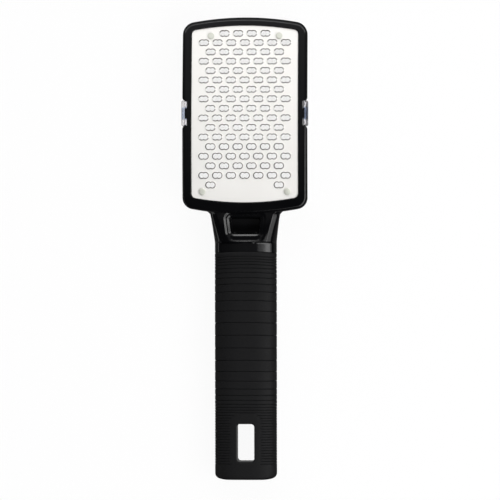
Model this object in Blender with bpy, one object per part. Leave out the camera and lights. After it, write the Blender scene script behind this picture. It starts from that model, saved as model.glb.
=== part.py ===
"""Callus remover: an etched steel rasp on a crowned plastic head, a soft ribbed grip and a clear catcher.

The tool lies on its back. Z is up out of the rasp, Y runs from the end of the grip to the end of the head,
X goes across, and the origin is under the middle of the tool.
"""
import bpy
import bmesh
from math import asin, cos, pi, sin, sqrt
from mathutils import Vector
from mathutils.geometry import delaunay_2d_cdt

MM = 0.001

# Whole tool
neck_length = 21.0 * MM         # from the head's foot to the grip
clearance = 0.3 * MM           # the gap that fitted pieces keep
overrun = 2.0 * MM             # how far a cutter runs past what it cuts

# Head frame
head_width = 69.1 * MM
head_length = 109.6 * MM
head_end_radius = 160.0 * MM   # seen from above, the two ends are shallow arcs
head_top_corner = 7.2 * MM
head_foot_corner = 6.4 * MM
crown_height = 24.0 * MM       # top of the crown above the table
crown_radius = 260.0 * MM
crown_from_top = 72.5 * MM
lip_height = 0.8 * MM          # how far the frame stands above the rasp
lip_chamfer = 0.3 * MM
edge_radius = 2.0 * MM
flange_wall = 1.8 * MM
skirt_wall = 1.6 * MM
skirt_depth = 6.5 * MM
skirt_chamfer = 0.4 * MM
ledge_side = 3.4 * MM
ledge_top = 2.6 * MM
ledge_foot = 5.0 * MM

# Rasp plate
plate_side_border = 4.85 * MM
plate_top_border = 4.2 * MM
plate_foot_border = 6.4 * MM
plate_thickness = 0.5 * MM
plate_corner = 2.6 * MM

# Rasp teeth
tooth_rows = 17
tooth_columns = 7
first_row_from_top = 5.0 * MM
last_row_from_foot = 9.76 * MM
tooth_margin = 4.26 * MM       # plain steel between the outermost teeth and the plate's sides
tooth_bridge = 2.3 * MM        # steel between two teeth of a row
row_bridge = 2.0 * MM          # steel between a row and the next
tooth_cusp = 0.3 * MM
tooth_rise = 0.35 * MM
tooth_foot = 0.4 * MM          # width of the slope round each cutting edge
tooth_flat_share = 0.62        # how much of a tooth's length its long sides take

# Plate rivets
rivet_head_radius = 1.85 * MM
rivet_head_height = 0.5 * MM
rivet_shank_radius = 1.1 * MM
rivet_grip_depth = 1.2 * MM    # how deep the shank sits in its lug
rivet_from_top = 6.2 * MM
rivet_from_foot = 5.9 * MM
foot_rivet_from_side = 6.1 * MM
lug_radius = 2.4 * MM
lug_length = 4.0 * MM

# Side clips, where the catcher grips the frame
clip_from_top = 53.7 * MM
clip_length = 13.6 * MM
clip_notch_depth = 2.65 * MM
clip_mouth_round = 2.2 * MM    # the frame's corners at the notch's mouth are this round
clip_corner = 1.0 * MM
clip_spread = 0.7 * MM         # how much longer the tab is outside than at its root
clip_stand_off = 0.6 * MM      # how far the tab stands outside the frame
clip_wall = 1.8 * MM
clip_drop = 10.0 * MM
clip_slope = 3.2 * MM
nub_length = 6.2 * MM
nub_reach = 1.25 * MM
nub_depth = 2.3 * MM
nub_taper = 0.4 * MM

# Catcher tray
catcher_wall = 1.4 * MM
catcher_nest = 3.6 * MM        # how far the rim goes up inside the skirt
catcher_foot_inset = 6.6 * MM

# Neck
neck_width = 38.6 * MM
neck_flare = 4.6 * MM
neck_collar = 5.2 * MM
neck_facet = 4.5 * MM
neck_side_share = 0.8          # how much of the height under the facet the lower corner may take
pocket_top_width = 18.4 * MM
pocket_foot_width = 15.2 * MM
pocket_length = 10.4 * MM
pocket_from_head = 1.8 * MM
pocket_depth = 8.0 * MM
pocket_draft = 0.8 * MM
pocket_corner = 1.0 * MM
pocket_rim_width = 2.3 * MM    # band between the neck's top and the recess
pocket_rim_step = 0.4 * MM     # how far the band lies under the neck's top at its outer edge
pocket_rim_depth = 0.6 * MM    # how far it does at the recess

# Grip
grip_length = 126.9 * MM
grip_width = 34.0 * MM
grip_thickness = 20.0 * MM
grip_corner = 8.0 * MM
grip_end_round = 2.2 * MM
grip_end_bow = 1.2 * MM
sleeve_wall = 2.2 * MM
sleeve_end_wall = 3.4 * MM
collar_step = 0.4 * MM         # the collar's edge is this much lower than the sleeve's ribs

# Grip grooves
groove_count = 43
groove_depth = 0.5 * MM
groove_width = 0.7 * MM
groove_start = 2.5 * MM
groove_fine_pitch = 1.5 * MM
groove_wide_pitch = 7.15 * MM
groove_bump_place = 45.4 * MM
groove_bump_reach = 40.4 * MM
groove_bow = 0.9 * MM          # the first grooves curve back at the grip's sides, and later ones less
groove_bow_reach = 72.0 * MM

# Hang hole
hole_width = 9.6 * MM
hole_length = 20.4 * MM
hole_corner = 1.8 * MM
hole_from_end = 21.0 * MM
hole_rim = 0.9 * MM
hole_wall = 2.0 * MM
patch_length = 29.0 * MM

# Counts that set how fine the facets are
SIDE_STEPS = 8
CORNER_STEPS = 4
END_STEPS = 6
EDGE_STEPS = 3
BORE_STEPS = 10
FLAT_STEPS = 2

tool_length = head_length + neck_length + grip_length
head_top = tool_length / 2
head_foot = head_top - head_length
grip_end = -tool_length / 2
grip_start = grip_end + grip_length
plate_top = head_top - plate_top_border
plate_foot = head_foot + plate_foot_border
plate_half = head_width / 2 - plate_side_border
crown_place = head_top - crown_from_top
first_row = crown_radius * asin((plate_top - crown_place) / crown_radius) - first_row_from_top
last_row = crown_radius * asin((plate_foot - crown_place) / crown_radius) + last_row_from_foot
row_pitch = (first_row - last_row) / (tooth_rows - 1)
tooth_pitch = (2 * (plate_half - tooth_margin) + tooth_bridge) / tooth_columns
tooth_length = tooth_pitch - tooth_bridge
tooth_height = row_pitch - row_bridge
clip_place = head_top - clip_from_top
notch_wall = head_width / 2 - clip_notch_depth
seat_depth = plate_thickness + clearance
flange_foot = seat_depth + flange_wall
rim_inset = skirt_wall + clearance
rim_depth = skirt_depth - catcher_nest
hole_place = grip_end + hole_from_end


def crown(y):
    """Height of the rasp's face above the table at this place along the tool."""
    along = y - crown_place
    return crown_height - crown_radius + sqrt(crown_radius ** 2 - along ** 2)


def material(name, color, roughness, metallic=0.0, transmission=0.0):
    made = bpy.data.materials.new(name)
    made.use_nodes = True
    shader = made.node_tree.nodes["Principled BSDF"]
    shader.inputs["Base Color"].default_value = (*color, 1.0)
    shader.inputs["Roughness"].default_value = roughness
    shader.inputs["Metallic"].default_value = metallic
    shader.inputs["Transmission Weight"].default_value = transmission
    return made


def add_object(name, mesh_data, finish=None, parent=None):
    made = bpy.data.objects.new(name, mesh_data)
    bpy.context.scene.collection.objects.link(made)
    if finish:
        mesh_data.materials.append(finish)
    if parent:
        made.parent = parent
    return made


def solid(name, points, faces, origin=Vector()):
    """Mesh of triangles from points and faces, turned outwards. Curved faces keep no warp that way."""
    mesh_data = bpy.data.meshes.new(name)
    mesh_data.from_pydata([Vector(point) - origin for point in points], [], faces)
    shape = bmesh.new()
    shape.from_mesh(mesh_data)
    bmesh.ops.triangulate(shape, faces=shape.faces)
    bmesh.ops.recalc_face_normals(shape, faces=shape.faces)
    shape.to_mesh(mesh_data)
    shape.free()
    mesh_data.shade_smooth()
    mesh_data.set_sharp_from_angle(angle=pi / 5)
    return mesh_data


def skin(loops, ring=False):
    """Points and faces of a skin over loops of equal length, closed on itself or capped at both ends."""
    count = len(loops[0])
    points = [point for loop in loops for point in loop]
    faces = []
    bands = len(loops) if ring else len(loops) - 1
    for band in range(bands):
        first = band * count
        second = (band + 1) % len(loops) * count
        for step in range(count):
            after = (step + 1) % count
            faces.append((first + step, first + after, second + after, second + step))
    if not ring:
        faces.append(tuple(range(count)))
        faces.append(tuple(range(len(points) - count, len(points))))
    return points, faces


def cutter(name, mesh_data):
    """A shape that only cuts or joins others, and isn't shown itself."""
    made = add_object(name, mesh_data)
    made.hide_render = True
    made.display_type = "WIRE"
    return made


def combine(target, operation, other):
    step = target.modifiers.new(other.name, "BOOLEAN")
    step.operation = operation
    step.object = other


def arc(center, radius, start, end, steps):
    """Points along an arc, without its last one."""
    turns = [start + (end - start) * step / steps for step in range(steps)]
    return [(center[0] + radius * cos(turn), center[1] + radius * sin(turn)) for turn in turns]


def head_outline(half_width, top, foot, end_radius, top_corner, foot_corner):
    """Plan outline with straight sides, shallow arcs for ends and rounded corners, from the right foot."""
    def corner_turn(corner):
        return asin((half_width - corner) / (end_radius - corner))

    def corner_reach(corner):
        return (end_radius - corner) * cos(corner_turn(corner))

    top_y = top - end_radius + corner_reach(top_corner)
    foot_y = foot + end_radius - corner_reach(foot_corner)
    side = [foot_y + (top_y - foot_y) * step / SIDE_STEPS for step in range(SIDE_STEPS)]
    top_turn = pi / 2 - corner_turn(top_corner)
    foot_turn = pi / 2 - corner_turn(foot_corner)
    top_x = half_width - top_corner
    foot_x = half_width - foot_corner
    points = [(half_width, y) for y in side]
    points += arc((top_x, top_y), top_corner, 0, top_turn, CORNER_STEPS)
    points += arc((0, top - end_radius), end_radius, top_turn, pi - top_turn, END_STEPS)
    points += arc((-top_x, top_y), top_corner, pi - top_turn, pi, CORNER_STEPS)
    points += [(-half_width, top_y + foot_y - y) for y in side]
    points += arc((-foot_x, foot_y), foot_corner, pi, pi + foot_turn, CORNER_STEPS)
    points += arc((0, foot + end_radius), end_radius, pi + foot_turn, 2 * pi - foot_turn, END_STEPS)
    points += arc((foot_x, foot_y), foot_corner, 2 * pi - foot_turn, 2 * pi, CORNER_STEPS)
    return points


def frame_loop(inset):
    """Outline of the frame, drawn in by an inset."""
    return head_outline(
        head_width / 2 - inset, head_top - inset, head_foot + inset, head_end_radius - inset,
        max(head_top_corner - inset, head_top_corner / 4), max(head_foot_corner - inset, head_foot_corner / 4))


def plate_loop(growth=0.0, top=0.0, foot=0.0):
    """Outline of the rasp plate, grown all round and then drawn in further at its ends."""
    corner = max(plate_corner + growth, plate_corner / 2)
    end_radius = head_end_radius - plate_top_border
    return head_outline(
        plate_half + growth, plate_top + growth - top, plate_foot - growth + foot, end_radius + growth,
        corner, corner)


def raised(loop, rise):
    """A plan loop lifted onto the crowned surface."""
    return [(x, y, crown(y) + rise) for x, y in loop]


def rounded_section(half_width, low, high, corner, facet, steps, flat_steps=1):
    """Cross-section in X and Z with round lower corners and others above, whose flats can have points too."""
    centers = (
        (half_width - corner, low + corner, -pi / 2, corner),
        (half_width - facet, high - facet, 0.0, facet),
        (facet - half_width, high - facet, pi / 2, facet),
        (corner - half_width, low + corner, pi, corner))
    section = []
    for x, z, start, radius in centers:
        for step in range(steps + 1):
            turn = start + pi / 2 * step / steps
            section.append((x + radius * cos(turn), z + radius * sin(turn)))
        if start in (0.0, pi):
            section += [(x * (1 - 2 * step / flat_steps), section[-1][1]) for step in range(1, flat_steps)]
    return section


def slot_loop(half_width, half_length, corner, steps=CORNER_STEPS):
    """Rounded rectangle in plan about the origin."""
    x = half_width - corner
    y = half_length - corner
    points = []
    for turn, (side, end) in enumerate(((1, 1), (-1, 1), (-1, -1), (1, -1))):
        start = turn * pi / 2
        points += arc((side * x, end * y), corner, start, start + pi / 2, steps)
        points.append((side * x + corner * cos(start + pi / 2), end * y + corner * sin(start + pi / 2)))
    return points


def round_loop(radius, steps, reach=0.0):
    """Circle in plan, or a rounded bar along Y where there is a reach between its two ends."""
    points = arc((0, reach / 2), radius, 0, pi, steps // 2)
    if reach:
        points.append((-radius, reach / 2))
    points += arc((0, -reach / 2), radius, pi, 2 * pi, steps // 2)
    if reach:
        points.append((radius, -reach / 2))
    return points


def prism(name, loop, low, high, place=(0.0, 0.0)):
    """Upright prism on a plan loop. Its ends are heights, or functions of the place along the tool."""
    def level(height, y):
        return height(y) if callable(height) else height

    moved = [(x + place[0], y + place[1]) for x, y in loop]
    loops = [[(x, y, level(height, y)) for x, y in moved] for height in (low, high)]
    return cutter(name, solid(name, *skin(loops)))


# Body: head frame, neck and the core that carries the grip
def frame_loops():
    """The frame's moulded section, as loops from the seat over the lip and round the skirt to the flange."""
    loops = [
        (plate_loop(-ledge_side, ledge_top - ledge_side, ledge_foot - ledge_side), -seat_depth),
        (plate_loop(clearance), -seat_depth),
        (plate_loop(clearance), lip_height - lip_chamfer),
        (plate_loop(clearance + lip_chamfer), lip_height)]
    for step in range(EDGE_STEPS + 1):
        turn = pi / 2 * step / EDGE_STEPS
        inset = edge_radius * (1 - sin(turn))
        loops.append((frame_loop(inset), lip_height - edge_radius * (1 - cos(turn))))
    loops += [
        (frame_loop(0.0), skirt_chamfer - skirt_depth),
        (frame_loop(skirt_chamfer), -skirt_depth),
        (frame_loop(skirt_wall), -skirt_depth),
        (frame_loop(skirt_wall), -flange_foot),
        (plate_loop(-ledge_side, ledge_top - ledge_side, ledge_foot - ledge_side), -flange_foot)]
    return [raised(loop, rise) for loop, rise in loops]


def foot_edge(x):
    """Where the frame's lower end lies at this distance from the middle."""
    return head_foot + head_end_radius - sqrt(head_end_radius ** 2 - x ** 2)


def bowed(x, y):
    """Place along the grip of a ring that curves back towards the grip's sides near the collar."""
    fade = max(1 - (grip_start - y) / groove_bow_reach, 0.0)
    return y - groove_bow * fade * (2 * x / grip_width) ** 2


def core_section(shrink, flat_steps=1):
    """Section of the grip's core, or of the space round it, drawn in from the outside of the grip."""
    corner = grip_corner - shrink
    return rounded_section(
        grip_width / 2 - shrink, shrink, grip_thickness - shrink, corner, corner, EDGE_STEPS, flat_steps)


# Shares of the way from the head to the collar, of the side flare, of the rise and of the underside.
neck_shares = (
    (0.0, 1.0, 0.96, 0.66),
    (0.12, 0.84, 0.94, 0.50),
    (0.34, 0.58, 0.84, 0.29),
    (0.62, 0.30, 0.52, 0.12),
    (0.86, 0.07, 0.18, 0.02),
    (1.0, 0.0, 0.0, 0.0))


def neck_stations():
    """Place along the tool, half width, underside and top of each section of the neck."""
    grip_rise = grip_thickness - collar_step
    start = head_foot - skirt_wall
    stations = []
    for along, wide, rise, under in neck_shares:
        stations.append((
            start + (grip_start + neck_collar - start) * along,
            grip_width / 2 + (neck_width - grip_width) / 2 * wide,
            collar_step + (crown(head_foot) - skirt_depth - collar_step) * under,
            grip_rise + (crown(head_foot) - grip_rise) * rise))
    return stations


def neck_top(y):
    """Height of the neck's flat top at this place along the tool."""
    stations = [(station[0], station[3]) for station in neck_stations()]
    for (y0, z0), (y1, z1) in zip(stations, stations[1:]):
        if y >= y1:
            return z0 + (z1 - z0) * (y0 - y) / (y0 - y1)
    return stations[-1][1]


def neck_section(half_width, low, high):
    corner = min(grip_corner, (high - low - neck_facet) * neck_side_share)
    return rounded_section(half_width, low, high, corner, neck_facet, EDGE_STEPS, FLAT_STEPS)


def neck_loops():
    """Neck, collar and core as sections from the head down to the end of the core."""
    low = crown(head_foot) - skirt_depth + skirt_chamfer
    high = crown(head_foot)
    root = neck_section((neck_width + neck_flare) / 2, low, high)
    fillet = neck_section(neck_width / 2 + neck_flare / 8, low, high)
    loops = [
        [(x, foot_edge(x) + skirt_wall / 2, z) for x, z in root],
        [(x, foot_edge(x) - skirt_wall / 4, z) for x, z in fillet]]
    for y, half_width, low, high in neck_stations():
        loops.append([(x, y, z) for x, z in neck_section(half_width, low, high)])
    core_inset = sleeve_wall + clearance
    collar = rounded_section(
        grip_width / 2, collar_step, grip_thickness - collar_step, grip_corner, grip_corner,
        EDGE_STEPS, FLAT_STEPS)
    for section in (collar, core_section(core_inset, FLAT_STEPS)):
        loops.append([(x, bowed(x, grip_start) + clearance, z) for x, z in section])
    core_end = grip_end + sleeve_end_wall + clearance
    loops.append([(x, core_end + grip_end_round, z) for x, z in core_section(core_inset, FLAT_STEPS)])
    loops.append([(x, core_end, z) for x, z in core_section(core_inset + grip_end_round, FLAT_STEPS)])
    return loops


def rivet_places():
    top_x = tooth_pitch * (tooth_columns // 2 - 0.5)
    foot_x = plate_half - foot_rivet_from_side
    top_y = plate_top - rivet_from_top
    foot_y = plate_foot + rivet_from_foot
    return (("top_left", -top_x, top_y, 1), ("top_right", top_x, top_y, 1),
            ("foot_left", -foot_x, foot_y, -1), ("foot_right", foot_x, foot_y, -1))


def make_body(finish):
    body = add_object("body", solid("body", *skin(frame_loops(), ring=True)), finish)
    neck = cutter("neck_form", solid("neck_form", *skin(neck_loops())))
    combine(body, "UNION", neck)

    for name, x, y, outward in rivet_places():
        loop = round_loop(lug_radius, BORE_STEPS, lug_length)
        place = (x, y + outward * lug_length / 2)
        lug = prism(
            f"lug_{name}", loop, lambda at: crown(at) - flange_foot + clearance / 6,
            lambda at: crown(at) - seat_depth - clearance / 6, place)
        combine(body, "UNION", lug)
        bore = round_loop(rivet_shank_radius + clearance, BORE_STEPS)
        hole = prism(
            f"bore_{name}", bore, lambda at: crown(at) - seat_depth - rivet_grip_depth - clearance,
            lambda at: crown(at) + overrun, (x, y))
        combine(body, "DIFFERENCE", hole)

    for name, side in (("left", -1), ("right", 1)):
        loop = [(side * x, y) for x, y in notch_loop()]
        notch = prism(
            f"notch_{name}", loop, lambda at: crown(at) - skirt_depth - overrun,
            lambda at: crown(at) + lip_height + overrun, (0.0, clip_place))
        combine(body, "DIFFERENCE", notch)
        combine(body, "UNION", make_nub(name, side))

    combine(body, "DIFFERENCE", make_pocket())
    eye = slot_loop(hole_width / 2 + hole_wall + clearance, hole_length / 2 + hole_wall + clearance,
                    hole_corner + hole_wall)
    combine(body, "DIFFERENCE", prism("core_eye", eye, -overrun, grip_thickness + overrun, (0, hole_place)))
    return body


def notch_loop():
    """Plan of the right-hand notch about the clip's place, with convex corners at its mouth."""
    half = clip_length / 2
    side = head_width / 2
    center = (side - clip_mouth_round, half + clip_mouth_round)
    upper = [(notch_wall, half)]
    upper += arc(center, clip_mouth_round, -pi / 2, 0, EDGE_STEPS)
    upper += [(side, center[1]), (side + overrun, center[1])]
    return upper + [(x, -y) for x, y in reversed(upper)]


def make_nub(name, side):
    """Wedge on the notch's wall that keeps the clip's tab in place."""
    stations = (
        (notch_wall - nub_reach / 2, nub_length / 2, -nub_depth, 0.0),
        (notch_wall + nub_reach, nub_length / 2 - nub_taper, nub_taper - nub_depth, -nub_taper))
    loops = []
    for out, half, low, top in stations:
        corners = ((-half, low), (half, low), (half, top), (-half, top))
        loops.append([(side * out, clip_place + y, crown(clip_place + y) + rise) for y, rise in corners])
    return cutter(f"nub_{name}", solid(f"nub_{name}", *skin(loops)))


def make_pocket():
    """Recess in the neck that narrows towards the grip, with a sunk band round it."""
    middle = head_foot - pocket_from_head - pocket_length / 2
    narrowing = (pocket_top_width - pocket_foot_width) / 2 / pocket_length
    levels = (
        (pocket_rim_width + pocket_rim_step / 2, overrun),
        (pocket_rim_width + pocket_rim_step / 2, pocket_rim_step / 2),
        (pocket_rim_width - pocket_rim_step / 2, -pocket_rim_step),
        (pocket_rim_step / 2, -pocket_rim_depth),
        (0.0, -pocket_rim_depth - pocket_rim_step / 2),
        (-pocket_draft, -pocket_depth))
    loops = []
    for growth, rise in levels:
        corner = pocket_corner + max(growth, 0.0)
        loop = slot_loop(pocket_top_width / 2 + growth, pocket_length / 2 + growth, corner, EDGE_STEPS)
        shaped = []
        for x, y in loop:
            side = 1 if x > 0 else -1
            shaped.append((x - side * narrowing * (pocket_length / 2 - y), middle + y, neck_top(middle + y) + rise))
        loops.append(shaped)
    return cutter("pocket", solid("pocket", *skin(loops)))


# Grip sleeve: soft ribbed cover over the core
def groove_places():
    """Distance of each groove from the sleeve's start: close together at both ends, wide in the middle."""
    places = []
    along = groove_start
    for _ in range(groove_count):
        places.append(along)
        away = min(abs(along - groove_bump_place) / groove_bump_reach, 1.0)
        along += groove_fine_pitch + (groove_wide_pitch - groove_fine_pitch) * cos(pi / 2 * away)
    return places


def sleeve_section(y, inset, depth=0.0):
    """Section of the sleeve at a place, drawn in, with a groove that stops at the smooth patch."""
    corner = grip_corner - inset
    steps = EDGE_STEPS
    outer = rounded_section(grip_width / 2 - inset, inset, grip_thickness - inset, corner, corner, steps)
    if not depth:
        return [(x, bowed(x, y), z) for x, z in outer]
    inner_corner = corner - depth
    inner = rounded_section(
        grip_width / 2 - inset - depth, inset + depth, grip_thickness - inset - depth,
        inner_corner, inner_corner, steps)
    if abs(y - hole_place) < patch_length / 2:
        for corner_index in range(4):
            first = corner_index * (steps + 1)
            flat = first if corner_index % 2 == 0 else first + steps
            inner[flat] = outer[flat]
    return [(x, bowed(x, y), z) for x, z in inner]


def groove_stations():
    """Places and depths along the sleeve. Close grooves share a rounded rib, and others leave a flat land."""
    places = groove_places()
    stations = [(places[0] - groove_width / 2, 0.0)]
    for along, after in zip(places, places[1:]):
        stations.append((along, groove_depth))
        if after - along < groove_fine_pitch + groove_width:
            stations.append(((along + after) / 2, 0.0))
        else:
            stations += [(along + groove_width / 2, 0.0), (after - groove_width / 2, 0.0)]
    stations += [(places[-1], groove_depth), (places[-1] + groove_width / 2, 0.0)]
    return stations


def end_bow(x):
    """How much shorter the sleeve is at this distance from the middle, because its end is curved."""
    beyond = max(abs(x) - (grip_width / 2 - grip_corner), 0.0)
    return grip_end_bow * (beyond / grip_corner) ** 2


def sleeve_loops():
    loops = [sleeve_section(grip_start, collar_step), sleeve_section(grip_start - collar_step, 0.0)]
    loops += [sleeve_section(grip_start - along, 0.0, depth) for along, depth in groove_stations()]
    for step in range(EDGE_STEPS + 1):
        turn = pi / 2 * step / EDGE_STEPS
        inset = grip_end_round * (1 - cos(turn))
        y = grip_end + grip_end_round * (1 - sin(turn))
        loops.append([(x, y + end_bow(x), z) for x, _, z in sleeve_section(y, inset)])
    return loops


def make_sleeve(finish):
    sleeve = add_object("grip_sleeve", solid("grip_sleeve", *skin(sleeve_loops())), finish)
    space_end = grip_end + sleeve_end_wall
    stations = (
        (grip_start + overrun, sleeve_wall),
        (space_end + grip_end_round, sleeve_wall),
        (space_end, sleeve_wall + grip_end_round))
    loops = [[(x, y, z) for x, z in core_section(shrink)] for y, shrink in stations]
    space = cutter("sleeve_space", solid("sleeve_space", *skin(loops)))
    post = slot_loop(hole_width / 2 + hole_wall, hole_length / 2 + hole_wall, hole_corner + hole_wall)
    combine(space, "DIFFERENCE", prism("hole_post", post, -overrun, grip_thickness + overrun, (0, hole_place)))
    combine(sleeve, "DIFFERENCE", space)
    combine(sleeve, "DIFFERENCE", make_hang_hole())
    return sleeve


def make_hang_hole():
    """Slot cutter that flares at both faces, so that the hole has rounded rims."""
    levels = [(hole_rim + overrun, -overrun)]
    for step in range(EDGE_STEPS + 1):
        turn = pi / 2 * step / EDGE_STEPS
        levels.append((hole_rim * (1 - sin(turn)), hole_rim * (1 - cos(turn))))
    levels += [(growth, grip_thickness - level) for growth, level in reversed(levels)]
    loops = []
    for growth, level in levels:
        loop = slot_loop(hole_width / 2 + growth, hole_length / 2 + growth, hole_corner + growth)
        loops.append([(x, y + hole_place, level) for x, y in loop])
    return cutter("hang_hole", solid("hang_hole", *skin(loops)))


# Rasp plate: crowned steel sheet with rows of etched teeth
def tooth_places():
    """Centres of the teeth, row by row. The rivets stand in the first row, and the last keeps its ends."""
    places = []
    for row in range(tooth_rows):
        y = crown_place + crown_radius * sin((first_row - row * row_pitch) / crown_radius)
        teeth = tooth_columns - 1 + row % 2
        for column in range(teeth):
            side = column - (teeth - 1) / 2
            at_end = column in (0, teeth - 1)
            if row == 0 and at_end or row == tooth_rows - 1 and not at_end:
                continue
            places.append((side * tooth_pitch, y))
    return places


def tooth_loop(growth, place):
    """Two-lobed outline with ten points: cut corners and a small cusp above and below the middle."""
    long_half = tooth_length / 2 + growth
    high_half = tooth_height / 2 + growth
    cut = tooth_height / 4 + growth / 2
    lobe = (long_half * tooth_flat_share, high_half)
    end = (long_half, high_half - cut)
    cusp = (0.0, high_half - tooth_cusp)
    quarter = [end, lobe]
    right = [(x, -y) for x, y in reversed(quarter)] + quarter
    left = [(-x, -y) for x, y in right]
    points = right + [cusp] + left + [(0.0, -cusp[1])]
    return [(x + place[0], y + place[1]) for x, y in points]


def inside(point, loop):
    """Whether a plan point lies inside a loop."""
    x, y = point
    crossings = 0
    for (x0, y0), (x1, y1) in zip(loop, loop[1:] + loop[:1]):
        if (y0 > y) != (y1 > y) and x < x0 + (y - y0) / (y1 - y0) * (x1 - x0):
            crossings += 1
    return crossings % 2 == 1


def pierced_sheet(outer, holes):
    """Triangles of a sheet with holes, as indices into the outer loop's and the holes' points."""
    points = []
    edges = []
    for loop in [outer] + holes:
        first = len(points)
        points += [Vector(point) / plate_half for point in loop]
        edges += [(first + step, first + (step + 1) % len(loop)) for step in range(len(loop))]
    found = delaunay_2d_cdt(points, edges, [], 1, 1e-7)
    kept = []
    spans = [(min(p[0] for p in hole), max(p[0] for p in hole),
              min(p[1] for p in hole), max(p[1] for p in hole), hole) for hole in holes]
    for triangle in found[2]:
        origins = [found[3][corner][0] for corner in triangle]
        middle = sum((points[index] for index in origins), Vector((0.0, 0.0))) / 3 * plate_half
        x, y = middle
        hit = any(low_x < x < high_x and low_y < y < high_y and inside(middle, hole)
                  for low_x, high_x, low_y, high_y, hole in spans)
        if not hit and inside(middle, outer):
            kept.append(tuple(origins))
    return kept


def make_plate(finish):
    outer = plate_loop()
    bores = []
    for _, x, y, _ in rivet_places():
        bore = round_loop(rivet_shank_radius + clearance, BORE_STEPS)
        bores.append([(x + dx, y + dy) for dx, dy in bore])
    feet = [tooth_loop(tooth_foot, place) for place in tooth_places()]
    edges = [tooth_loop(0.0, place) for place in tooth_places()]
    shape = bmesh.new()

    def add(loop, rise):
        return [shape.verts.new(point) for point in raised(loop, rise)]

    def wall(first, second):
        for step in range(len(first)):
            after = (step + 1) % len(first)
            shape.faces.new((first[step], first[after], second[after], second[step]))

    top_rim = add(outer, 0.0)
    low_rim = add(outer, -plate_thickness)
    wall(low_rim, top_rim)
    top_bores = [add(loop, 0.0) for loop in bores]
    low_bores = [add(loop, -plate_thickness) for loop in bores]
    for top, low in zip(top_bores, low_bores):
        wall(top, low)
    top_feet = [add(loop, 0.0) for loop in feet]
    crests = [add(loop, tooth_rise) for loop in edges]
    low_edges = [add(loop, -plate_thickness) for loop in edges]
    for foot, crest, low in zip(top_feet, crests, low_edges):
        wall(foot, crest)
        wall(crest, low)
    for rim, holes, verts in ((outer, bores + feet, [top_rim] + top_bores + top_feet),
                              (outer, bores + edges, [low_rim] + low_bores + low_edges)):
        flat = [vert for loop in verts for vert in loop]
        for triangle in pierced_sheet(rim, holes):
            shape.faces.new([flat[index] for index in triangle])
    bmesh.ops.recalc_face_normals(shape, faces=shape.faces)
    mesh_data = bpy.data.meshes.new("rasp_plate")
    shape.to_mesh(mesh_data)
    shape.free()
    return add_object("rasp_plate", mesh_data, finish)


# Plate rivets: low domed heads with a shank down into the frame's lugs
def make_rivets(finish):
    dome_shares = ((0.0, 1.0), (0.5, 0.95), (1.0, 0.55))
    profile = [(rivet_shank_radius, -seat_depth - rivet_grip_depth), (rivet_shank_radius, clearance)]
    profile += [(rivet_head_radius * wide, clearance + rivet_head_height * rise) for rise, wide in dome_shares]
    for name, x, y, _ in rivet_places():
        loops = []
        for radius, rise in profile:
            loops.append(raised([(x + dx, y + dy) for dx, dy in round_loop(radius, BORE_STEPS)], rise))
        add_object(f"plate_rivet_{name}", solid(f"plate_rivet_{name}", *skin(loops)), finish)


# Catcher: clear tray on the head's back, held by a tab at each side
def catcher_loops():
    """Outer skin from the flat back up to the rim, then the inner skin down to the floor."""
    # Shares of the inset at the back, and of the height of the rim, from the back up.
    wall_shares = ((1.0, 0.0), (0.55, 0.05), (0.24, 0.17), (0.04, 0.45), (0.0, 1.0))

    def rim_rise(y):
        return crown(y) - rim_depth

    loops = []
    for inset, rise in wall_shares:
        loop = frame_loop(rim_inset + inset * catcher_foot_inset)
        loops.append([(x, y, rim_rise(y) * rise) for x, y in loop])
    for inset, rise in reversed(wall_shares):
        loop = frame_loop(rim_inset + catcher_wall + inset * catcher_foot_inset)
        loops.append([(x, y, catcher_wall + (rim_rise(y) - catcher_wall) * rise) for x, y in loop])
    return loops


def tab_loop(inner_x, outer_x, trim):
    """Plan of the right-hand tab about the clip's place. Outside it is longer, and its corners are cut."""
    half = clip_length / 2 - clearance - trim
    knee = inner_x + (outer_x - inner_x) / 4
    upper = [(inner_x, half), (knee, half), (outer_x - clip_corner, half + clip_spread),
             (outer_x, half + clip_spread - clip_corner)]
    return upper + [(x, -y) for x, y in reversed(upper)]


def make_catcher(finish, parent):
    catcher = add_object("catcher", solid("catcher", *skin(catcher_loops()), parent.location), finish, parent)
    outer = head_width / 2 + clip_stand_off
    inner = notch_wall + clearance
    root = head_width / 2 - rim_inset - catcher_wall / 2
    shelf = -flange_foot - clearance - catcher_wall / 4
    bevel = clip_corner / 2
    levels = (
        (root, outer - clip_wall, -clip_drop, bevel),
        (root, outer, clip_slope - clip_drop, 0.0),
        (root, outer, shelf, 0.0),
        (inner, outer, shelf + bevel, 0.0),
        (inner, outer, -bevel, 0.0),
        (inner, outer - bevel, 0.0, bevel))
    reach = outer - clip_wall - inner + overrun
    channel = slot_loop(reach / 2, nub_length / 2 + clearance, clip_corner / 2)
    for name, side in (("left", -1), ("right", 1)):
        loops = []
        for inner_x, outer_x, rise, trim in levels:
            loop = [(side * x, clip_place + y) for x, y in tab_loop(inner_x, outer_x, trim)]
            loops.append(raised(loop, rise))
        combine(catcher, "UNION", cutter(f"tab_{name}", solid(f"tab_{name}", *skin(loops))))
        place = (side * (outer - clip_wall - reach / 2), clip_place)
        cut = prism(f"channel_{name}", channel, lambda y: crown(y) - nub_depth - clearance,
                    lambda y: crown(y) + overrun, place)
        combine(catcher, "DIFFERENCE", cut)
    return catcher


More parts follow.
